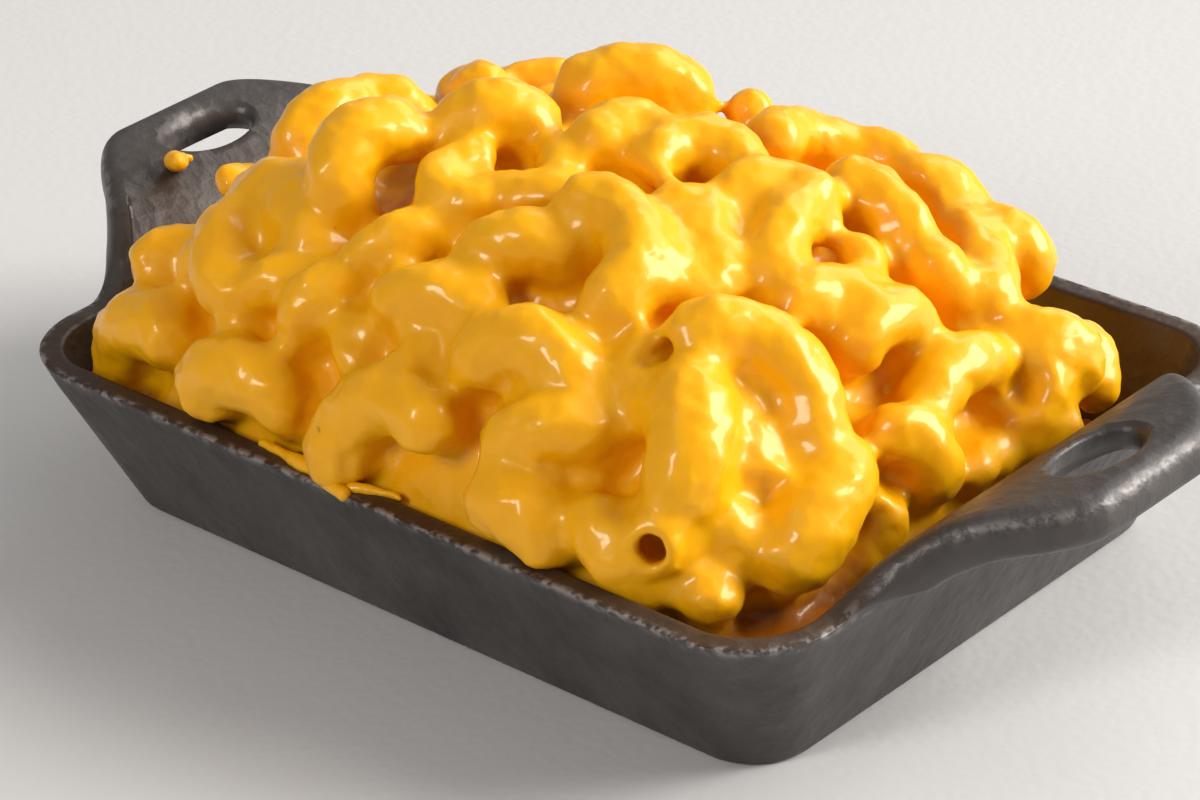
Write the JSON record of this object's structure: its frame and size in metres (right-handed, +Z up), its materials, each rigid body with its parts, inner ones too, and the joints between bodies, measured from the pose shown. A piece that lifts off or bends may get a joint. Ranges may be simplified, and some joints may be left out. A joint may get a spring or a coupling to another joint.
{
  "type": "macaroni and cheese",
  "caption": "Elbow macaroni heaped in thick cheese sauce in a small rectangular cast-iron server with a slotted ear at each end.",
  "frame": {"origin": "centre of the dish's flat base, at the bottom of the bounding box", "axes": "+X runs through both ears along the dish's length, towards the ear on the right of the shown view; +Y runs across the dish towards its far long side, where the corner beside the right ear is empty; +Z is up"},
  "size_m": [0.1812, 0.103, 0.0621],
  "materials": {
    "seasoned_cast_iron": "satin",
    "macaroni_in_cheese_sauce": "gloss"
  },
  "bodies": {
    "root": {"dish": "seasoned_cast_iron", "macaroni_heap": "macaroni_in_cheese_sauce"}
  },
  "joints": []
}
